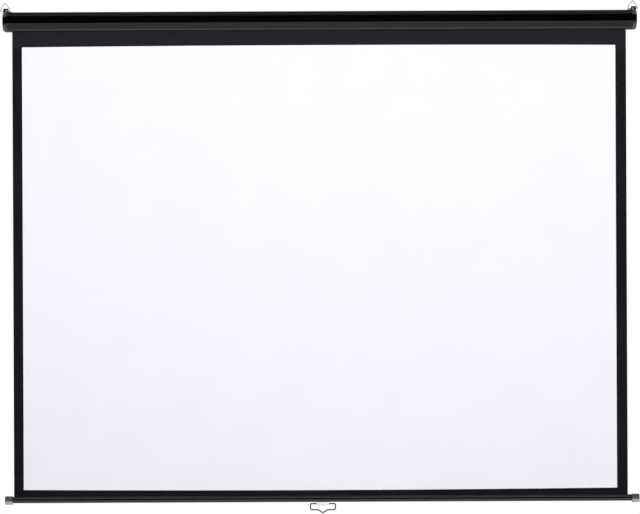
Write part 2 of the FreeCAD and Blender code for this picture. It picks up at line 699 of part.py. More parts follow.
def make_pawl():
    """Pawl that hangs clear of the stop wheel, on a pin in the plug's flange."""
    body = new_body("lock_pawl")
    high = "pawl_pivot_room - tooth_play"
    low = high + " - pawl_arm"
    tooth_near = "-pawl_reach + pawl_tooth / 2"
    tooth_far = "-pawl_reach - pawl_tooth / 2"
    arm = new_sketch(body, "YZ_Plane")
    draw_runs(arm, [(tooth_far, low), ("0", low), ("0", high), (tooth_near, high),
                    (tooth_near, "tooth_tip"), (tooth_far, "tooth_tip")])
    pad(body, arm, "pawl_thickness")
    boss = new_sketch(body, "YZ_Plane")
    draw_circle(boss, "pawl_boss / 2")
    pad(body, boss, "pawl_thickness")
    hole = new_sketch(body, "YZ_Plane")
    draw_circle(hole, "pawl_pin_diameter / 2 + running_fit")
    pocket(body, hole, "pawl_thickness")
    body.Placement = FreeCAD.Placement(V(0, 0, 0), FreeCAD.Rotation(V(1, 0, 0), number("pawl_lift")))
    bind(body, Placement__Rotation__Angle="pawl_lift * 1 deg")
    place(body, "flange_end + pawl_gap", "roller_y + pawl_reach", "roller_rise - pawl_drop")
    finish(body, "lock_pawl")

    pin = new_body("pawl_pin")
    circle = new_sketch(pin, "YZ_Plane")
    draw_circle(circle, "pawl_pin_diameter / 2")
    reach = "pawl_pin_depth + 2 * pawl_gap + pawl_thickness"
    pad(pin, circle, reach)
    head = new_sketch(pin, "YZ_Plane", reach)
    draw_circle(head, "pawl_boss / 2")
    pad(pin, head, "pawl_pin_head")
    place(pin, "flange_end - pawl_pin_depth", "roller_y + pawl_reach", "roller_rise - pawl_drop")
    finish(pin, "pawl_pin")


# Cloth, bar and handle

def make_cloth():
    """The hanging cloth, flat, from the front of the roller down into the bar's slot."""
    cloth = doc.addObject("Part::Box", "screen_cloth_sheet")
    bind(cloth, Length="cloth_width", Width="cloth_thickness", Height="roller_rise - cloth_bottom")
    place(cloth, "cloth_left", "cloth_y - cloth_thickness / 2", "cloth_bottom")
    finish(cloth, "screen_cloth")


def draw_bar_outline(sketch, grow, foot="0"):
    """The bar's rounded outline moved outwards by grow and down by foot, without its grooves."""
    corners = rectangle("cloth_y - bar_depth / 2 - (%s)" % grow, "cloth_y + bar_depth / 2 + (%s)" % grow,
                        "bar_bottom - (%s) - %s" % (grow, foot), "bar_top + (%s)" % grow)
    draw_rounded(sketch, corners, ["bar_corner + (%s)" % grow] * 4)


def make_bar():
    """Extruded bar: hollow, with a groove along its front and back and a slot on top for the cloth."""
    body = new_body("bottom_bar")
    section = new_sketch(body, "YZ_Plane")
    draw_bar_outline(section, "0")
    draw_bar_outline(section, "-bar_wall")
    pad(body, section, "2 * bar_end", middle=True)
    grooves = new_sketch(body, "YZ_Plane")
    edge = "bar_top - bar_groove_drop"
    for way in (-1, 1):
        face = "cloth_y + %d * bar_depth / 2" % way
        root = face + " - %d * bar_groove_depth" % way
        draw_runs(grooves, [(face, edge), (root, edge), (face, edge + " - bar_groove_width")])
    pocket(body, grooves, "2 * (bar_end + cut_room)", middle=True)
    slot = new_sketch(body, "YZ_Plane")
    draw_runs(slot, rectangle("cloth_y - bar_slot / 2", "cloth_y + bar_slot / 2",
                              "bar_top - bar_wall - cut_room", "bar_top + cut_room"))
    pocket(body, slot, "2 * (bar_end + cut_room)", middle=True)
    holes = new_sketch(body, "XY_Plane", "bar_bottom - cut_room")
    for side in (-1, 1):
        across = "clip_offset + %d * clip_screw_spacing / 2" % side
        draw_circle(holes, "clip_screw_shank / 2 + plug_fit", across, "cloth_y")
    pocket(body, holes, "bar_wall + 2 * cut_room")
    place(body, x="bar_shift")
    finish(body, "bottom_bar")

    rod = doc.addObject("Part::Cylinder", "hem_rod_bar")
    rod.Placement = FreeCAD.Placement(V(0, 0, 0), ALONG_X)
    bind(rod, Radius="hem_rod_diameter / 2", Height="cloth_width")
    place(rod, "cloth_left", "cloth_y", "hem_rod_z")
    finish(rod, "hem_rod")


def make_bar_cap(name, side):
    """Plastic sleeve over the bar's end, rounded outside, with a foot below the bar."""
    body = new_body(name + "_bar_cap")
    start, length = span(side, "bar_end + bar_cap_end - bar_cap_length", "bar_end + bar_cap_end")
    outside = new_sketch(body, "YZ_Plane", start)
    draw_bar_outline(outside, "plug_fit + bar_cap_wall", "bar_cap_foot")
    pad(body, outside, length)
    end = side * number("bar_end + bar_cap_end")
    round_edges(body, "bar_cap_rim", lambda edge: near(edge.CenterOfMass.x, end))
    start, length = span(side, "bar_end + bar_cap_end - bar_cap_length", "bar_end")
    socket = new_sketch(body, "YZ_Plane", start)
    draw_bar_outline(socket, "plug_fit")
    pocket(body, socket, length)
    place(body, x="bar_shift")
    finish(body, name + "_bar_cap")


def make_clip():
    """Clip under the bar, round about the handle's pivot, with a blind hole at each end for the wire."""
    body = new_body("handle_clip")
    half = "clip_depth / 2"
    block = new_sketch(body, "YZ_Plane")
    draw_runs(block, rectangle("cloth_y - " + half, "cloth_y + " + half, "pivot_z", "bar_bottom"))
    pad(body, block, "clip_width", middle=True)
    nose = new_sketch(body, "YZ_Plane")
    draw_circle(nose, half, "cloth_y", "pivot_z")
    pad(body, nose, "clip_width", middle=True)
    for side in (-1, 1):
        start, length = span(side, "clip_width / 2 - handle_grip - plug_fit", "clip_width / 2 + cut_room")
        eye = new_sketch(body, "YZ_Plane", start)
        draw_circle(eye, "handle_wire / 2 + running_fit", "cloth_y", "pivot_z")
        pocket(body, eye, length)
    wells = new_sketch(body, "XY_Plane", "bar_bottom - clip_screw_seat")
    spots = new_sketch(body, "XY_Plane", "bar_bottom - clip_screw_seat")
    for side in (-1, 1):
        draw_circle(wells, "clip_screw_head / 2 + plug_fit", "%d * clip_screw_spacing / 2" % side, "cloth_y")
        draw_circle(spots, "clip_screw_shank / 2", "%d * clip_screw_spacing / 2" % side, "cloth_y")
    pocket(body, wells, "clip_depth", forward=False)
    countersink(body, spots, "clip_screw_shank", "clip_screw_head", "clip_screw_seat + cut_room", True)
    place(body, x="bar_shift + clip_offset")
    finish(body, "handle_clip")

    spots = []
    for side in (-1, 1):
        across = "bar_shift + clip_offset + %d * clip_screw_spacing / 2" % side
        spots.append(((0, 0, 1), (across, "cloth_y", "bar_bottom - clip_screw_seat")))
    screw_group("clip_screws", "clip_screw", "clip_screw_seat + bar_wall + clip_screw_bite", spots)


def make_bent_wire(node, corners, bends, wire, where):
    """Round wire along straight runs and bends in an upright plane, about its own origin."""
    body = new_body(node)
    path = new_sketch(body, "XZ_Plane")
    draw_bent_wire(path, corners, bends)
    section = new_sketch(body, "YZ_Plane", corners[0][0])
    draw_circle(section, "%s / 2" % wire)
    doc.recompute()
    pipe = body.newObject("PartDesign::AdditivePipe", "wire")
    pipe.Profile = section
    pipe.Spine = (path, ["Edge%d" % n for n in range(1, len(path.Shape.Edges) + 1)])
    place(body, *where)
    finish(body, node)


def make_handle():
    end = "clip_width / 2 - handle_grip"
    side = "handle_width / 2"
    low = "-handle_drop"
    half = [(end, "0"), (side, "0"), (side, low), ("vee_width / 2", low)]
    corners = [("-(%s)" % across, up) for across, up in half]
    corners += [("0", "-handle_drop - vee_depth")] + half[::-1]
    bends = ["handle_top_bend", "handle_low_bend", "vee_bend", "vee_bend", "vee_bend", "handle_low_bend",
             "handle_top_bend"]
    where = ("bar_shift + clip_offset", "cloth_y", "pivot_z")
    make_bent_wire("pull_handle", corners, bends, "handle_wire", where)


def make_ring(name, side):
    """Triangular wire ring, its ends butted inside the lug."""
    corners = [("-ring_joint / 2", "0"), ("-ring_width / 2", "0"), ("0", "ring_height"),
               ("ring_width / 2", "0"), ("ring_joint / 2", "0")]
    make_bent_wire(name + "_hang_ring", corners, ["ring_bend"] * 3, "ring_wire",
                   ("%d * ring_x - ring_slide" % side, "ring_y", "ring_z"))


make_case_shell()
make_case_screws()
make_roller()
make_spring_end()
make_pawl()
make_cloth()
make_bar()
make_clip()
make_handle()
for name, side in SIDES:
    make_end_cap(name, side)
    make_bracket(name, side)
    make_bar_cap(name, side)
    make_ring(name, side)
doc.recompute()

# Nothing is written unless every object is sound
for item in doc.Objects:
    if "Invalid" in item.State or "Error" in item.State:
        raise RuntimeError("%s failed: %s" % (item.Name, item.State))
for item in nodes:
    if item.Shape.isNull() or not item.Shape.isValid() or not item.Shape.Solids:
        raise RuntimeError("%s has no sound shape" % item.Label)

os.makedirs("parts", exist_ok=True)
for item in nodes:
    item.Shape.exportStep("parts/%s.step" % item.Label)
    print("%-22s solids %d volume %.1f" % (item.Label, len(item.Shape.Solids), item.Shape.Volume))
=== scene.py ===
import math

import bpy
import numpy as np
from mathutils import Matrix, Vector


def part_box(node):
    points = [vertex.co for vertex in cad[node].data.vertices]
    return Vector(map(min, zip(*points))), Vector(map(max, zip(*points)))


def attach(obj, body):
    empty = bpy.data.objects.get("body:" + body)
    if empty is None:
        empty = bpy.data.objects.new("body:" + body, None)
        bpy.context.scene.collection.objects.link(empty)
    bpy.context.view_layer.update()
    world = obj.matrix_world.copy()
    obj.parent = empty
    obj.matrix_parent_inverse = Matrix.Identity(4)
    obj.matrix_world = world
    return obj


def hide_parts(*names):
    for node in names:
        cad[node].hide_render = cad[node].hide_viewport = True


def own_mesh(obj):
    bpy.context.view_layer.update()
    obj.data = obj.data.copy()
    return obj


# Pull-down projection screen: cloth, finishes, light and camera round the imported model, in metres.
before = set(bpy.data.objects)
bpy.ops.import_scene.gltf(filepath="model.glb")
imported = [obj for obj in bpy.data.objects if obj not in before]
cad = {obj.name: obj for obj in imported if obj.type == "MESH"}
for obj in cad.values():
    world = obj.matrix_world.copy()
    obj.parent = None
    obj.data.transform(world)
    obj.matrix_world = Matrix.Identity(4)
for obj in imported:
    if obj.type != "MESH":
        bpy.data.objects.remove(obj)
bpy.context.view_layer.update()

MM = 0.001

# Printed picture area: its size, its middle to the right of the cloth's, the black strip between it and
# the bar, and how far the ends of its upper and lower edges bow towards its middle
PICTURE_WIDTH = 2.032
PICTURE_HEIGHT = 1.524
PICTURE_OFFSET = -1.7 * MM
BOTTOM_BORDER = 18.5 * MM
TOP_BOW = 3.9 * MM
BOTTOM_BOW = 4.8 * MM

# Cloth: its thickness, the hem above the bar that stays with it, and the cells of its grid, across a border,
# the picture and a border, and down the top border, the picture, the strip below it and the hem
CLOTH_THICKNESS = 0.35 * MM
HEM_HEIGHT = 12.5 * MM
ACROSS_CELLS = (4, 96, 4)
DOWN_CELLS = (8, 72, 2, 3)

# Waves of the cloth front to back: their heights, and their turns in radians from the middle to a side edge,
# with the broad wave's start and the narrow wave's slant from roller to bar
BROAD_WAVE = 0.7 * MM
BROAD_TURN = 5.2
BROAD_START = 1.1
NARROW_WAVE = 0.4 * MM
NARROW_TURN = 11
NARROW_SLANT = 4
EDGE_CURL = 1.6 * MM
EDGE_CURL_POWER = 10

# Cloth left on the roller: its turns, the steps of a turn, the cells across, the gap below it, and a little
# less thickness, so that one turn clears the next
WRAP_TURNS = 2
WRAP_STEPS = 48
WRAP_CELLS = 24
WRAP_GAP = 0.1 * MM
WRAP_THICKNESS = 0.9 * CLOTH_THICKNESS

# Case: height of the painted highlight along the foot of its lip, and of that highlight's blur
LIP_HIGHLIGHT = 4 * MM
LIP_BLUR = 1 * MM

# End caps: where the painted grey reflection on the outer shoulders starts and is full, in from the cap's end
# and off its middle height, and the heights between which the dull lug begins
SHOULDER_REFLECTION_IN = (17 * MM, 12 * MM)
SHOULDER_REFLECTION_HEIGHT = (12.5 * MM, 16.5 * MM)
LUG_FOOT = (32 * MM, 34 * MM)

# Bar: its front groove, painted darker as painted shade, with its middle below the bar's top, and the heights
# above the bar's foot where the painted light along its lower edge is full and gone
GROOVE_HEIGHT = 4 * MM
GROOVE_DROP = 10 * MM
GROOVE_BLUR = 0.5 * MM
BAR_FOOT_LIGHT = (1 * MM, 4.5 * MM)

# Bar caps: the share of their height that is painted pale as painted light from the floor below, and the blur
# and unevenness of its upper edge
LIT_FOOT_SHARE = 0.42
LIT_FOOT_BLUR = (-3 * MM, 5 * MM)
LIT_FOOT_UNEVEN = 4 * MM

# Faint violet that black plastic and paint give to what they mirror
GLOSS_TINT = "#fff5ff"

# Thread spacing of the cloth as drawn, in millimetres, and the height over which the painted light on its
# border's top strip blends in
THREAD_SPACING = 4.0
TOP_LIGHT_BLUR = 20 * MM

# Most of a noise pattern lies between these values
NOISE = (0.3, 0.7)

# Sky: how far aside and how far up a direction points where the bright wings start and are full, and how far
# down where the bright ground is full and gone
WING_ASIDE = (0.3, 0.6)
WING_UP = (0.2, 0.5)
GROUND_UP = (-0.06, -0.01)

# Camera of the photograph, and the floor below its frame, with its reach to both sides, behind and in front
IMAGE_WIDTH = 640
SENSOR_WIDTH = 36
VIEW_DISTANCE = 8.0
FOCAL_PIXELS = 2335.8
VIEW_X = -0.0024
VIEW_Z = -0.8098
VIEW_ROLL = math.radians(-0.245)
FLOOR_Z = -2.3
FLOOR_SIDE = 9
FLOOR_BACK = 5
FLOOR_FRONT = -4
FLOOR_CELLS = 6


# Small helpers

def linear(code):
    """An sRGB hex colour as linear red, green, blue and full opacity."""
    parts = np.array([int(code[i:i + 2], 16) for i in (1, 3, 5)]) / 255
    straight = np.where(parts <= 0.04045, parts / 12.92, ((parts + 0.055) / 1.055) ** 2.4)
    return (*straight.tolist(), 1.0)


def per_metre(millimetres):
    """Noise scale whose blotches are about this wide."""
    return 1000 / millimetres


def band_scale(millimetres):
    """Wave scale whose bands repeat at this spacing: a band turns 20 radians per unit of scale."""
    return 2 * math.pi / (20 * millimetres / 1000)


def add(tree, kind, inputs=(), output=0, stops=(), **settings):
    """A node with its settings, and the one of its outputs that is wanted.

    Inputs are values or other nodes' outputs, by socket or in the sockets' order. Stops are the places and
    sRGB hex colours of a colour ramp.
    """
    node = tree.nodes.new("ShaderNode" + kind)
    for name, value in settings.items():
        setattr(node, name, value)
    for socket, value in inputs.items() if isinstance(inputs, dict) else enumerate(inputs):
        if isinstance(value, bpy.types.NodeSocket):
            tree.links.new(value, node.inputs[socket])
        else:
            node.inputs[socket].default_value = value
    if stops:
        elements = node.color_ramp.elements
        while len(elements) < len(stops):
            elements.new(1.0)
        for element, (place, code) in zip(elements, stops):
            element.position = place
            element.color = linear(code)
    return node.outputs[output] if node.outputs else None


def finish(name, surface, **details):
    """A material whose Principled sockets come from a surface function, as values or other nodes' outputs."""
    material = bpy.data.materials.new(name)
    material.use_nodes = True
    tree = material.node_tree
    tree.nodes.clear()
    place = add(tree, "TexCoord", output="Object")
    shader = add(tree, "BsdfPrincipled", surface(tree, place, **details))
    add(tree, "OutputMaterial", [shader])
    return material


# Finishes, each on the piece's Object coordinates

def powder_coated_steel(tree, place):
    """Folded steel, gloss black powder coat: an orange-peel skin, and a painted highlight that pales the
    lip's lower edge in patches.
    """
    peel = add(tree, "TexNoise", {"Vector": place, "Scale": per_metre(4.0), "Detail": 1.0})
    haze = add(tree, "TexNoise", {"Vector": place, "Scale": per_metre(70.0), "Detail": 4.0})
    height = add(tree, "SeparateXYZ", [place], "Z")
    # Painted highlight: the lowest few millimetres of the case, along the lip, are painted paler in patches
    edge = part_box("case_shell")[0].z + LIP_HIGHLIGHT
    lip = add(tree, "MapRange", [height, edge - LIP_BLUR, edge, 1.0, 0.0])
    patchy = add(tree, "MapRange", [haze, 0.35, 0.65, 0.75, 1.0])
    lip_highlight = add(tree, "Math", [lip, patchy], operation="MULTIPLY")
    return {
        "Base Color": add(tree, "ValToRGB", [lip_highlight], stops=[(0.0, "#030203"), (1.0, "#3a383b")]),
        "Roughness": add(tree, "MapRange", [haze, *NOISE, 0.1, 0.16]),
        "Normal": add(tree, "Bump", {"Height": peel, "Distance": 0.03 * MM}),
        "IOR": 1.5,
        "Specular Tint": linear(GLOSS_TINT),
    }


def moulded_black_abs(tree, place):
    """Moulded ABS from a polished mould: glossy black, with a dull lug, and a painted grey reflection on the
    outer shoulders.
    """
    grain = add(tree, "TexNoise", {"Vector": place, "Scale": per_metre(2.5), "Detail": 3.0})
    along = add(tree, "SeparateXYZ", [place], "X")
    height = add(tree, "SeparateXYZ", [place], "Z")
    out = add(tree, "Math", [along], operation="ABSOLUTE")
    off_middle = add(tree, "Math", [height], operation="ABSOLUTE")
    # Painted reflection: the outer shoulders of each cap are painted grey, up to the lug
    start, full = (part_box("right_end_cap")[1].x - reach for reach in SHOULDER_REFLECTION_IN)
    near_end = add(tree, "MapRange", [out, start, full, 0.0, 1.0])
    on_shoulder = add(tree, "MapRange", [off_middle, *SHOULDER_REFLECTION_HEIGHT, 0.0, 1.0])
    below_lug = add(tree, "MapRange", [height, *LUG_FOOT, 1.0, 0.0])
    shoulder_reflection = add(tree, "Math", [near_end, on_shoulder], operation="MULTIPLY")
    painted_light = add(tree, "Math", [shoulder_reflection, below_lug], operation="MULTIPLY")
    return {
        "Base Color": add(tree, "ValToRGB", [painted_light], stops=[(0.0, "#040305"), (1.0, "#464447")]),
        "Roughness": add(tree, "MapRange", [grain, *NOISE, 0.1, 0.17]),
        "Specular IOR Level": add(tree, "MapRange", [below_lug, 0.0, 1.0, 0.08, 0.5]),
        "Normal": add(tree, "Bump", {"Height": grain, "Distance": 0.03 * MM}),
        "IOR": 1.54,
        "Specular Tint": linear(GLOSS_TINT),
    }


def calendered_cloth(tree, place, stops, roughness, specular, thread_height, faded=0.0):
    """PVC-coated woven cloth: its thread shows as a faint square grid under the coat.

    The real thread spacing is about 0.6 mm, too fine to show here, so it is drawn coarser. Where the last
    argument is given, the strip above the picture is painted that much further along the stops: painted
    light, paler than the rest.
    """
    cloud = add(tree, "TexNoise", {"Vector": place, "Scale": per_metre(180.0), "Detail": 3.0})
    fleck = add(tree, "TexNoise", {"Vector": place, "Scale": per_metre(5.0), "Detail": 2.0})
    patchy = add(tree, "MapRange", [cloud, *NOISE, 0.1, 0.55])
    flecked = add(tree, "Math", [fleck, 0.35, patchy], operation="MULTIPLY_ADD")
    height = add(tree, "SeparateXYZ", [place], "Z")
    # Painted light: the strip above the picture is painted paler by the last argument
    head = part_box("bottom_bar")[1].z + BOTTOM_BORDER + PICTURE_HEIGHT
    above = add(tree, "MapRange", [height, head - TOP_LIGHT_BLUR, head, 0.0, faded])
    shade = add(tree, "Math", [flecked, above], operation="ADD")
    spacing = {"Vector": place, "Scale": band_scale(THREAD_SPACING)}
    warp = add(tree, "TexWave", spacing, "Fac", bands_direction="X")
    weft = add(tree, "TexWave", spacing, "Fac", bands_direction="Z")
    thread = add(tree, "Math", [warp, weft], operation="ADD")
    return {
        "Base Color": add(tree, "ValToRGB", [shade], stops=stops),
        "Roughness": add(tree, "MapRange", [fleck, *NOISE, roughness - 0.06, roughness + 0.06]),
        "Normal": add(tree, "Bump", {"Height": thread, "Distance": thread_height}),
        "IOR": 1.46,
        "Specular IOR Level": specular,
    }


def painted_aluminium(tree, place):
    """Extruded aluminium with black paint: faint drawing lines run along the bar.

    The groove is painted darker as painted shade, the rest of the paint is patchy, and its rounded lower edge
    is painted pale as painted light from the floor below.
    """
    drawn = add(tree, "Mapping", {"Vector": place, "Scale": (0.004, 1, 1)})
    lines = add(tree, "TexNoise", {"Vector": drawn, "Scale": per_metre(1.6), "Detail": 2.0})
    haze = add(tree, "TexNoise", {"Vector": place, "Scale": per_metre(60.0), "Detail": 3.0})
    height = add(tree, "SeparateXYZ", [place], "Z")
    low, high = (corner.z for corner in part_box("bottom_bar"))
    # Painted shade: the band of the groove is painted darker than the paint round it
    rise = add(tree, "Math", [height, high - GROOVE_DROP], operation="SUBTRACT")
    off_groove = add(tree, "Math", [rise], operation="ABSOLUTE")
    edge = GROOVE_HEIGHT / 2
    outside = add(tree, "MapRange", [off_groove, edge, edge + GROOVE_BLUR, 0.0, 1.0])
    patchy = add(tree, "MapRange", [haze, *NOISE, 0.7, 1.0])
    tone_and_groove_shade = add(tree, "Math", [outside, patchy], operation="MULTIPLY")
    paint = add(tree, "ValToRGB", [tone_and_groove_shade], stops=[(0.0, "#070608"), (1.0, "#2d2a2f")])
    # Painted light: the lowest few millimetres of the bar are painted pale
    full, gone = (low + lit_rise for lit_rise in BAR_FOOT_LIGHT)
    painted_light = add(tree, "MapRange", [height, full, gone, 1.0, 0.0])
    return {
        "Base Color": add(tree, "Mix", {0: painted_light, 6: paint, 7: linear("#48454a")}, 2, data_type="RGBA"),
        "Roughness": add(tree, "MapRange", [haze, *NOISE, 0.16, 0.22]),
        "Normal": add(tree, "Bump", {"Height": lines, "Distance": 0.02 * MM}),
        "IOR": 1.5,
        "Specular Tint": linear(GLOSS_TINT),
    }


def moulded_grey_abs(tree, place):
    """Moulded grey ABS: upper sleeve mid grey, and the foot painted pale as painted light from the floor
    below.
    """
    grain = add(tree, "TexNoise", {"Vector": place, "Scale": per_metre(2.0), "Detail": 3.0})
    height = add(tree, "SeparateXYZ", [place], "Z")
    low, high = (corner.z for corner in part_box("left_bar_cap"))
    # Painted light: each cap below an uneven line is painted pale
    uneven = add(tree, "Math", [grain, LIT_FOOT_UNEVEN, height], operation="MULTIPLY_ADD")
    start, full = (low + LIT_FOOT_SHARE * (high - low) + blur for blur in LIT_FOOT_BLUR)
    sleeve = add(tree, "MapRange", [uneven, start, full, 0.0, 1.0])
    return {
        "Base Color": add(tree, "ValToRGB", [sleeve], stops=[(0.0, "#b6b6b9"), (1.0, "#444446")]),
        "Roughness": add(tree, "MapRange", [grain, *NOISE, 0.34, 0.46]),
        "Normal": add(tree, "Bump", {"Height": grain, "Distance": 0.06 * MM}),
        "IOR": 1.54,
    }


def moulded_nylon(tree, place, dark, pale):
    """Moulded nylon: milky, slightly cloudy, with a soft sheen."""
    cloud = add(tree, "TexNoise", {"Vector": place, "Scale": per_metre(9.0), "Detail": 3.0})
    return {
        "Base Color": add(tree, "ValToRGB", [cloud], stops=[(0.3, dark), (0.7, pale)]),
        "Roughness": add(tree, "MapRange", [cloud, *NOISE, 0.38, 0.5]),
        "Normal": add(tree, "Bump", {"Height": cloud, "Distance": 0.05 * MM}),
        "IOR": 1.53,
    }


def zinc_plated_steel(tree, place, dark, pale, roughness):
    """Zinc-plated steel: bright bluish grey with drawn streaks and dull patches."""
    drawn = add(tree, "Mapping", {"Vector": place, "Scale": (0.15, 1, 1)})
    streak = add(tree, "TexNoise", {"Vector": drawn, "Scale": per_metre(1.2), "Detail": 3.0})
    patch = add(tree, "TexNoise", {"Vector": place, "Scale": per_metre(12.0), "Detail": 4.0})
    return {
        "Base Color": add(tree, "ValToRGB", [patch], stops=[(0.3, dark), (0.7, pale)]),
        "Roughness": add(tree, "MapRange", [streak, *NOISE, roughness - 0.08, roughness + 0.08]),
        "Normal": add(tree, "Bump", {"Height": streak, "Distance": 0.02 * MM}),
        "Metallic": 1.0,
    }


def plastisol_coated_wire(tree, place):
    """Steel wire dipped in black plastisol: soft sheen, uneven skin."""
    skin = add(tree, "TexNoise", {"Vector": place, "Scale": per_metre(3.0), "Detail": 2.0})
    return {
        "Base Color": add(tree, "ValToRGB", [skin], stops=[(0.3, "#040405"), (0.7, "#09090a")]),
        "Roughness": add(tree, "MapRange", [skin, *NOISE, 0.5, 0.62]),
        "Normal": add(tree, "Bump", {"Height": skin, "Distance": 0.08 * MM}),
        "IOR": 1.45,
        "Specular IOR Level": 0.06,
    }


def black_zinc_steel(tree, place):
    """Screws in black zinc: dark metal with a dull, slightly brown sheen."""
    patch = add(tree, "TexNoise", {"Vector": place, "Scale": per_metre(1.5), "Detail": 3.0})
    return {
        "Base Color": add(tree, "ValToRGB", [patch], stops=[(0.3, "#171719"), (0.7, "#2c2b2c")]),
        "Roughness": add(tree, "MapRange", [patch, *NOISE, 0.3, 0.45]),
        "Metallic": 0.6,
    }


def matt_floor_paint(tree, place):
    """Matt pale floor paint with faint roller marks."""
    mark = add(tree, "TexNoise", {"Vector": place, "Scale": per_metre(400.0), "Detail": 3.0})
    return {
        "Base Color": add(tree, "ValToRGB", [mark], stops=[(0.3, "#d2d2d4"), (0.7, "#d8d8da")]),
        "Roughness": add(tree, "MapRange", [mark, *NOISE, 0.75, 0.85]),
        "IOR": 1.45,
        "Specular IOR Level": 0.1,
    }


white_face = finish(
    "matt_white_pvc_cloth", calendered_cloth, stops=[(0.2, "#f1f0f7"), (0.7, "#f3f2f9")],
    roughness=0.75, specular=0.25, thread_height=0.02 * MM)
border_face = finish(
    "matt_black_printed_cloth", calendered_cloth,
    stops=[(0.2, "#151318"), (0.7, "#1b181e"), (0.85, "#232027")],
    roughness=0.8, specular=0.1, thread_height=0.03 * MM, faded=0.5)
cloth_back = finish(
    "black_backing_coat", calendered_cloth, stops=[(0.2, "#1d1d1f"), (0.7, "#262629")],
    roughness=0.7, specular=0.2, thread_height=0.03 * MM)
zinc = finish("zinc_plated_steel", zinc_plated_steel, dark="#9a9da3", pale="#b9bcc1", roughness=0.34)
bright_zinc = finish("bright_zinc_wire", zinc_plated_steel, dark="#dcdee2", pale="#eceef0", roughness=0.42)
spring_steel = finish("oiled_spring_steel", zinc_plated_steel, dark="#4e4e52", pale="#6d6d70", roughness=0.3)
finishes = {
    "case_shell": finish("powder_coated_steel", powder_coated_steel),
    "left_end_cap right_end_cap": finish("moulded_black_abs", moulded_black_abs),
    "end_cap_screws bracket_screws": finish("black_zinc_steel", black_zinc_steel),
    "left_roller_bracket right_roller_bracket spring_shaft ratchet_wheel roller_tube": zinc,
    "idler_pin pawl_pin lock_pawl hem_rod clip_screws": zinc,
    "torsion_spring": spring_steel,
    "spring_anchor idler_bush spring_end_plug idler_end_plug": finish(
        "moulded_natural_nylon", moulded_nylon, dark="#d6d0c0", pale="#e6e2d6"),
    "bottom_bar": finish("painted_extruded_aluminium", painted_aluminium),
    "left_bar_cap right_bar_cap": finish("moulded_grey_abs", moulded_grey_abs),
    "handle_clip": finish("moulded_pale_nylon", moulded_nylon, dark="#f3f3f5", pale="#fbfbfc"),
    "pull_handle": finish("plastisol_coated_wire", plastisol_coated_wire),
    "left_hang_ring right_hang_ring": bright_zinc,
}
for names, material in finishes.items():
    for name in names.split():
        cad[name].data.materials.clear()
        cad[name].data.materials.append(material)


# Cloth

def spaced(places, cells):
    """Grid lines through the given places, with so many even cells from each place to the next."""
    runs = [np.linspace(start, stop, count, endpoint=False)
            for start, stop, count in zip(places, places[1:], cells)]
    return np.concatenate(runs + [places[-1:]])


def grid_object(name, points, cell_slots, materials):
    """A sheet from a grid of points, rows by columns by 3, with one quad to a cell in its material slot."""
    rows, columns = points.shape[:2]
    index = np.arange(rows * columns).reshape(rows, columns)
    corners = [index[1:, :-1], index[1:, 1:], index[:-1, 1:], index[:-1, :-1]]
    quads = np.stack(corners, axis=-1).reshape(-1, 4)
    mesh = bpy.data.meshes.new(name)
    mesh.vertices.add(rows * columns)
    mesh.vertices.foreach_set("co", points.astype(np.float32).ravel())
    mesh.loops.add(quads.size)
    mesh.loops.foreach_set("vertex_index", quads.astype(np.int32).ravel())
    mesh.polygons.add(len(quads))
    mesh.polygons.foreach_set("loop_start", np.arange(0, quads.size, 4, dtype=np.int32))
    mesh.polygons.foreach_set("material_index", cell_slots.astype(np.int32).ravel())
    mesh.polygons.foreach_set("use_smooth", np.ones(len(quads), dtype=bool))
    mesh.update(calc_edges=True)
    mesh.validate()
    for material in materials:
        mesh.materials.append(material)
    made = bpy.data.objects.new(name, mesh)
    bpy.context.scene.collection.objects.link(made)
    return made


def give_thickness(piece, thickness, back_offset):
    """Cloth thickness both ways from the grid, with the back and the edges in later material slots."""
    skin = piece.modifiers.new("thickness", "SOLIDIFY")
    skin.thickness = thickness
    skin.offset = 0
    skin.material_offset = back_offset
    skin.material_offset_rim = back_offset


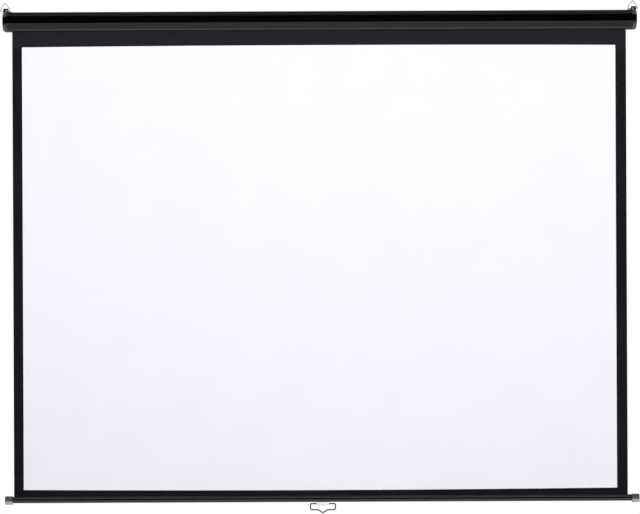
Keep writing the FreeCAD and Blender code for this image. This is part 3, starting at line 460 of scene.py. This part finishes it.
def hanging_cloth():
    """The cloth from the roller down into the bar, as a grid of across and down.

    Rows and columns are closer at the printed border's edges. The border's edge is bowed: its ends lie nearer
    the middle by the square of the distance across. The face moves front to back by about 1 mm, in a broad
    and a narrow sine wave that fade out at the roller and the bar, and its side edges curl back by a high
    power of the distance across. The hem below the picture is a piece of its own that comes up with the bar,
    while the rest is attached to the case.
    """
    low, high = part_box("screen_cloth")
    middle = (low.x + high.x) / 2
    half = (high.x - low.x) / 2
    left = middle + PICTURE_OFFSET - PICTURE_WIDTH / 2
    right = left + PICTURE_WIDTH
    bar_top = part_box("bottom_bar")[1].z
    foot = bar_top + BOTTOM_BORDER
    head = foot + PICTURE_HEIGHT
    hem_top = bar_top + HEM_HEIGHT
    across = spaced([low.x, left, right, high.x], ACROSS_CELLS)
    down = spaced([high.z, head, foot, hem_top, low.z], DOWN_CELLS)
    x, z = np.meshgrid(across, down)
    side = (x - middle) / half
    bow = np.interp(z, [low.z, hem_top, foot, head, high.z], [0, 0, BOTTOM_BOW, -TOP_BOW, 0])
    fall = (high.z - z) / (high.z - low.z)
    fade = np.sin(math.pi * fall)
    broad = BROAD_WAVE * np.sin(BROAD_TURN * side + BROAD_START) * fade
    narrow = NARROW_WAVE * np.sin(NARROW_TURN * side + NARROW_SLANT * fall) * fade ** 2
    curl = EDGE_CURL * np.abs(side) ** EDGE_CURL_POWER * fade
    y = (low.y + high.y) / 2 + broad + narrow + curl
    points = np.stack([x, y, z + bow * side ** 2], axis=-1)
    middle_x = (across[1:] + across[:-1]) / 2
    middle_z = (down[1:] + down[:-1]) / 2
    inside = np.outer((middle_z < head) & (middle_z > foot), (middle_x > left) & (middle_x < right))
    seam = len(down) - 1 - DOWN_CELLS[-1]
    made = grid_object("hanging_cloth", points[:seam + 1], np.where(inside, 0, 1)[:seam],
                       [white_face, border_face, cloth_back, cloth_back])
    give_thickness(made, CLOTH_THICKNESS, 2)
    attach(made, "case")
    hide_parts("screen_cloth")
    hem_cells = np.zeros((DOWN_CELLS[-1], len(across) - 1))
    hem = grid_object("cloth_hem", points[seam:], hem_cells, [border_face, cloth_back])
    give_thickness(hem, CLOTH_THICKNESS, 1)
    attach(hem, "bar")
    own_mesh(made)


def wound_cloth():
    """The turns of cloth that stay on the roller: a spiral whose radius grows evenly with its turn.

    It comes over the top and ends at the front, where the hanging cloth starts.
    """
    low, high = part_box("cloth_wraps")
    axis_y = (low.y + high.y) / 2
    axis_z = (low.z + high.z) / 2
    outside = (high.z - low.z) / 2 - CLOTH_THICKNESS / 2
    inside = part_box("roller_tube")[1].z - axis_z + WRAP_GAP + CLOTH_THICKNESS / 2
    turn = np.linspace(2 * math.pi * WRAP_TURNS, 0, WRAP_STEPS * WRAP_TURNS + 1)
    radius = np.linspace(inside, outside, len(turn))
    x, angle = np.meshgrid(np.linspace(low.x, high.x, WRAP_CELLS + 1), turn)
    y = axis_y - radius[:, None] * np.cos(angle)
    z = axis_z + radius[:, None] * np.sin(angle)
    cells = np.zeros((len(turn) - 1, WRAP_CELLS))
    made = grid_object("wound_cloth", np.stack([x, y, z], axis=-1), cells, [border_face, cloth_back])
    give_thickness(made, WRAP_THICKNESS, 1)
    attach(made, "roller")
    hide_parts("cloth_wraps")


hanging_cloth()
wound_cloth()


# Floor, light and camera

def pale_floor():
    """Flat grid of pale painted floor, which ends below the photograph's frame."""
    across = np.linspace(-FLOOR_SIDE, FLOOR_SIDE, FLOOR_CELLS + 1)
    x, y = np.meshgrid(across, np.linspace(FLOOR_BACK, FLOOR_FRONT, FLOOR_CELLS + 1))
    points = np.stack([x, y, np.full_like(x, FLOOR_Z)], axis=-1)
    cells = np.zeros((FLOOR_CELLS, FLOOR_CELLS))
    floor = grid_object("floor", points, cells, [finish("matt_floor_paint", matt_floor_paint)])


def softbox(name, place, aim, size, watts):
    """A large soft light from place towards aim, which leaves no mirror image in gloss paint."""
    data = bpy.data.lights.new(name, "AREA")
    data.shape = "RECTANGLE"
    data.size, data.size_y = size
    data.energy = watts
    made = bpy.data.objects.new(name, data)
    made.location = place
    made.rotation_euler = (Vector(aim) - Vector(place)).to_track_quat("-Z", "Y").to_euler()
    made.visible_camera = False
    made.visible_glossy = False
    bpy.context.scene.collection.objects.link(made)


def studio_sky():
    """White behind the screen, below it and at the upper sides, grey overhead and dark in front.

    Upright gloss faces stay black, those that lean down show the bright ground, and the caps' rounded ends
    catch the sides. The backdrop that is seen directly is plain white.
    """
    world = bpy.data.worlds.new("studio")
    world.use_nodes = True
    bpy.context.scene.world = world
    tree = world.node_tree
    tree.nodes.clear()
    direction = add(tree, "TexCoord", output="Generated")
    right, back, up = (add(tree, "SeparateXYZ", [direction], axis) for axis in "XYZ")
    depth = add(tree, "MapRange", [back, -1.0, 1.0, 0.0, 1.0])
    glow = add(tree, "ValToRGB", [depth], stops=[
        (0.0, "#050505"), (0.22, "#0a0a0a"), (0.42, "#878489"), (0.58, "#8a888c"), (0.8, "#ffffff")])
    aside = add(tree, "Math", [right], operation="ABSOLUTE")
    far_aside = add(tree, "MapRange", [aside, *WING_ASIDE, 0.0, 1.0])
    far_up = add(tree, "MapRange", [up, *WING_UP, 0.0, 1.0])
    wing = add(tree, "Math", [far_aside, far_up], operation="MULTIPLY")
    ground = add(tree, "MapRange", [up, *GROUND_UP, 1.0, 0.0])
    bright = add(tree, "Math", [wing, ground], operation="MAXIMUM")
    mirrored = add(tree, "Mix", {0: bright, 6: glow, 7: linear("#fbfaff")}, 2, data_type="RGBA")
    seen = add(tree, "LightPath", output="Is Camera Ray")
    colour = add(tree, "Mix", {0: seen, 6: mirrored, 7: linear("#ffffff")}, 2, data_type="RGBA")
    light = add(tree, "Background", {"Color": colour})
    add(tree, "OutputWorld", [light])


def photograph_camera():
    """Square on to the cloth at mid height, turned a little about the view."""
    data = bpy.data.cameras.new("camera")
    data.sensor_fit = "HORIZONTAL"
    data.sensor_width = SENSOR_WIDTH
    data.lens = FOCAL_PIXELS * SENSOR_WIDTH / IMAGE_WIDTH
    made = bpy.data.objects.new("camera", data)
    cloth_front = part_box("screen_cloth")[0].y
    place = Matrix.Translation((VIEW_X, cloth_front - VIEW_DISTANCE, VIEW_Z))
    made.matrix_world = place @ Matrix.Rotation(math.pi / 2, 4, "X") @ Matrix.Rotation(VIEW_ROLL, 4, "Z")
    bpy.context.scene.collection.objects.link(made)
    bpy.context.scene.camera = made


pale_floor()
studio_sky()
softbox("key_right", place=(1.2, -6.0, 0.5), aim=(0.2, 0, -0.7), size=(2.4, 1.6), watts=139)
softbox("key_left", place=(-1.2, -6.0, 0.5), aim=(-0.2, 0, -0.7), size=(2.4, 1.6), watts=76)
softbox("overhead", place=(0, -2.5, 3.5), aim=(0, -2.5, 0), size=(5, 5), watts=62)
photograph_camera()
bpy.context.scene.view_settings.view_transform = "Standard"
